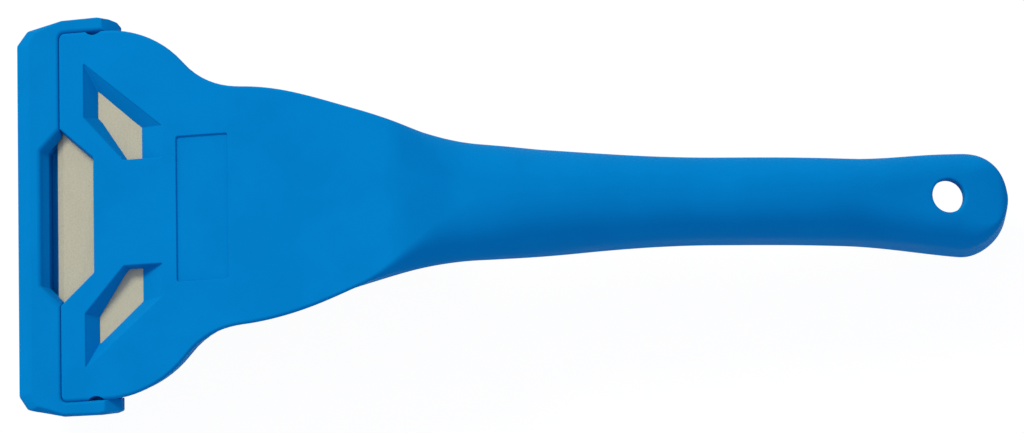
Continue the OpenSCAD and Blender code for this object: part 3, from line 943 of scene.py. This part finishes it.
def guard_blank():
    """The guard's outer form, in loops that each lie between two outlines by a share and then an inset."""
    low = guard_outline(-GUARD_DEPTH, LOW_CORNER,
                        arm_inset=1.3, tip_inset=1.1, taper_length=0.8, taper=0.3)
    middle = guard_outline(-GUARD_DEPTH, MIDDLE_CORNER,
                           arm_inset=0.2, tip_inset=0.1, taper_length=3.2, taper=0.8)
    top = guard_outline(-GUARD_DEPTH + NOSE_BEVEL, TOP_CORNER,
                        arm_inset=0.5, tip_inset=0.3, taper_length=3.2, taper=0.8)
    foot = -HEAD_HEIGHT
    levels = [(foot, low, low, 0, 0.5), (foot + 0.08, low, middle, 0.02, 0.28),
              (foot + 0.25, low, middle, 0.06, 0.1), (foot + 0.5, low, middle, 0.12, 0),
              (-1.25, low, middle, 0.91, 0), (-1.0, low, middle, 0.975, 0.02),
              (-0.86, middle, top, 0.06, 0.06), (-0.7, middle, top, 0.22, 0.05),
              (-0.22, middle, top, 0.76, 0.03), (-0.08, middle, top, 0.93, 0.06),
              (-0.02, middle, top, 1.0, 0.16), (0, middle, top, 1.0, 0.34)]
    radii = [GUARD_ROUND] * (len(LOW_CORNER) + 2) + [ARM_END_ROUND]
    loops = [in_head(outset(between(first, second, share), -inset), level, radii + radii[::-1])
             for level, first, second, share, inset in levels]
    return solid_through("guard", loops)


def head_room():
    """The space between the guard's arms, which follow the sloping sides of the head."""
    loops = []
    for level, grow in HEAD_ROOM_FOOT + [(-HEAD_ROOM_LIP, 0)] + soft_lip(HEAD_ROOM_LIP, HEAD_ROOM_ABOVE):
        inside = ARM_INSIDE - ARM_LEAN * min(max(-level / HEAD_HEIGHT, 0), 1)
        half = [(-GUARD_GAP, inside)] + [(u, inside + flare) for u, flare in HEAD_ROOM_FLARE]
        loops.append(in_head(outset(half + mirrored(half), grow), level, HEAD_ROOM_CORNER + grow))
    return solid_through("head_room", loops)


def blade_room():
    section = [(BLADE_ROOM_HALF, BLADE_ROOM_HEIGHT), (-BLADE_ROOM_HALF, BLADE_ROOM_HEIGHT),
               (-BLADE_ROOM_HALF, -BLADE_ROOM_HEIGHT), (BLADE_ROOM_HALF, -BLADE_ROOM_HEIGHT)]
    return solid_through("blade_room", [[head_point(u, v, BLADE_LEVEL + n) for v, n in section]
                                        for u in (-BLADE_ROOM_REACH, CUT_PAST)])


def guard_cutout():
    """The cut-out in the guard's back edge: a round lip, sloping walls and an upright drop to the floor."""
    turn = (CUTOUT_BACK - CUTOUT_FRONT) / CUTOUT_DEPTH
    outlines = []
    for deep, inset in ((CUTOUT_STEP_DEPTH, CUTOUT_END_INSET), (CUTOUT_DEPTH, 0)):
        back = CUTOUT_BACK - inset + turn * CUTOUT_BEHIND
        front = CUTOUT_BACK - inset - turn * deep
        outlines.append([(CUTOUT_BEHIND, back), (CUTOUT_BEHIND, -back), (-deep, -front), (-deep, front)])
    step, mouth = outlines
    floor = in_head(outset(step, -CUTOUT_DRAFT), GUARD_FLOOR - HEAD_HEIGHT, CUTOUT_CORNER)
    return solid_through("cutout", [floor] + opening(step, CUTOUT_STEP, mouth, CUTOUT_LIP, CUTOUT_CORNER))


def arm_fall():
    """What is taken off above the sloping ends of the arms."""
    return solid_through("arm_fall", [[head_point(u, v, n) for u, n in ARM_FALL]
                                      for v in (-ARM_FALL_HALF, ARM_FALL_HALF)])


def snap_bumps():
    """A half round bump on the inside of each arm, smaller at its upper end."""
    stacks = []
    for side, start in ((1, -pi), (-1, 0)):
        place = side * (HEAD_HALF + BUMP_RADIUS + BUMP_CLEAR)
        loops = []
        for level, shrink in BUMP_LEVELS:
            half = circle(BUMP_PLACE, place, BUMP_RADIUS - shrink, start, start + pi, BUMP_STEPS)
            loops.append(in_head(half, level))
        stacks.append(loops)
    return solid_through("bumps", *stacks)


def make_guard(finish):
    guard = guard_blank()
    cut_from(guard, head_room())
    cut_from(guard, blade_room())
    cut_from(guard, guard_cutout())
    cut_from(guard, arm_fall())
    cut_from(guard, snap_bumps(), operation="UNION")
    return finish_mesh(guard, finish, PLASTIC_SHARP)


# Assembly
RING_LOFT = ring_loft_tree()
RIB_ROW = rib_row_tree()
MOULDED_GRAIN = moulded_grain_group()
HANDLING_MARKS = handling_marks_group()
body_blue = moulded_plastic("body_blue", BODY_DEEP, BODY_LIGHT)
guard_blue = moulded_plastic("guard_blue", GUARD_DEEP, GUARD_LIGHT)
blade_grey = ground_steel("blade_grey")

# Each CAD body with the piece that stands for it and the slot of its finish
for node, piece, slot in (("body", make_body(body_blue), "body_plastic"),
                          ("blade", make_blade(blade_grey), "blade_steel"),
                          ("guard", make_guard(guard_blue), "guard_plastic")):
    piece.name = node + "_piece"
    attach(piece, node)
    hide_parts(node)


# Floor, light and camera. The floor's reach and the lamp are in metres, the other sizes in millimetres
FLOOR_LEVEL = -7.5  # clear of the guard, which slides down the head's slope
FLOOR_REACH = 4
PAPER_GREY = (0.72, 0.72, 0.72, 1)
PAPER_GLOW = 1.06
PAPER_GLOW_SHARE = 0.9
WHITE = (1, 1, 1, 1)
FILL_AT_HEAD = (0.49, 0.545, 0.68, 1)
FILL_AT_TAIL = (0.45, 0.5, 0.625, 1)
KEY_PLACE = (-1.16, 1.305, 1.418)
KEY_SIZE = 0.7
KEY_POWER = 34.5
KEY_COLOUR = (1.0, 0.94, 0.72)
CAMERA_TILT = radians(12.181)
CAMERA_ROLL = radians(0.92)
CAMERA_DISTANCE = 2000
CAMERA_TARGET = Vector((-0.099, 0.25, 0))
IMAGE_WIDTH = 1024
PIXEL = 0.17233  # one pixel of the picture at the target
SENSOR_WIDTH = 36


def seen_white(w):
    """1 where a camera, glossy or transmission ray looks, so that the stage shows as white there."""
    path = w.node("ShaderNodeLightPath").outputs
    mirror = w.math("MAXIMUM", path["Is Glossy Ray"], path["Is Transmission Ray"])
    return w.math("MAXIMUM", path["Is Camera Ray"], mirror)


def make_floor():
    mesh = bpy.data.meshes.new("floor")
    far, level = FLOOR_REACH, FLOOR_LEVEL * MM
    mesh.from_pydata([(-far, -far, level), (far, -far, level), (far, far, level), (-far, far, level)],
                     [], [(0, 1, 2, 3)])
    floor = new_object("floor", mesh)
    paper, w, shader = start_material("pale_paper")
    shader.inputs["Base Color"].default_value = PAPER_GREY
    shader.inputs["Roughness"].default_value = 1
    shader.inputs["Specular IOR Level"].default_value = 0
    glow = w.node("ShaderNodeEmission", {"Color": WHITE, "Strength": PAPER_GLOW})
    bright = w.node("ShaderNodeMixShader", {0: w.math("MULTIPLY", seen_white(w), PAPER_GLOW_SHARE),
                                            1: shader.outputs["BSDF"], 2: glow.outputs["Emission"]})
    clear = w.node("ShaderNodeBsdfTransparent")
    one_sided = w.node("ShaderNodeMixShader", {0: w.node("ShaderNodeNewGeometry").outputs["Backfacing"],
                                               1: bright.outputs["Shader"], 2: clear.outputs["BSDF"]})
    output = next(n for n in w.tree.nodes if n.type == "OUTPUT_MATERIAL")
    w.tree.links.new(one_sided.outputs["Shader"], output.inputs["Surface"])
    mesh.materials.append(paper)


def make_light():
    world = bpy.data.worlds.new("studio")
    world.use_nodes = True
    world.node_tree.nodes.clear()
    w = Wiring(world.node_tree)
    way = w.node("ShaderNodeSeparateXYZ", {0: w.node("ShaderNodeTexCoord").outputs["Generated"]}).outputs
    fill = mixed(w, ranged(w, way["X"], 0, 1, -1, 1), FILL_AT_HEAD, FILL_AT_TAIL)
    fill = mixed(w, seen_white(w), fill, WHITE)
    sky = w.node("ShaderNodeBackground", {"Color": fill, "Strength": 1.0})
    w.node("ShaderNodeOutputWorld", {"Surface": sky.outputs["Background"]})
    bpy.context.scene.world = world
    lamp = bpy.data.lights.new("key", "AREA")
    lamp.shape, lamp.size, lamp.energy = "DISK", KEY_SIZE, KEY_POWER
    lamp.color = KEY_COLOUR
    key = bpy.data.objects.new("key", lamp)
    key.location = KEY_PLACE
    key.rotation_euler = (-Vector(key.location)).to_track_quat("-Z", "Y").to_euler()
    key.visible_camera = False
    bpy.context.scene.collection.objects.link(key)


def make_camera():
    ahead = Vector((0, sin(CAMERA_TILT), -cos(CAMERA_TILT)))
    up, right = Vector((0, cos(CAMERA_TILT), sin(CAMERA_TILT))), Vector((1, 0, 0))
    side = right * cos(CAMERA_ROLL) - up * sin(CAMERA_ROLL)
    above = right * sin(CAMERA_ROLL) + up * cos(CAMERA_ROLL)
    lens = bpy.data.cameras.new("camera")
    lens.sensor_width = SENSOR_WIDTH
    lens.lens = SENSOR_WIDTH * CAMERA_DISTANCE / (IMAGE_WIDTH * PIXEL)
    lens.clip_start, lens.clip_end = 0.1, 50
    camera = bpy.data.objects.new("camera", lens)
    turn = Matrix((side, above, -ahead)).transposed().to_4x4()
    camera.matrix_world = Matrix.Translation((CAMERA_TARGET - ahead * CAMERA_DISTANCE) * MM) @ turn
    bpy.context.scene.collection.objects.link(camera)
    bpy.context.scene.camera = camera


make_floor()
make_light()
make_camera()
bpy.context.scene.view_settings.view_transform = "Standard"
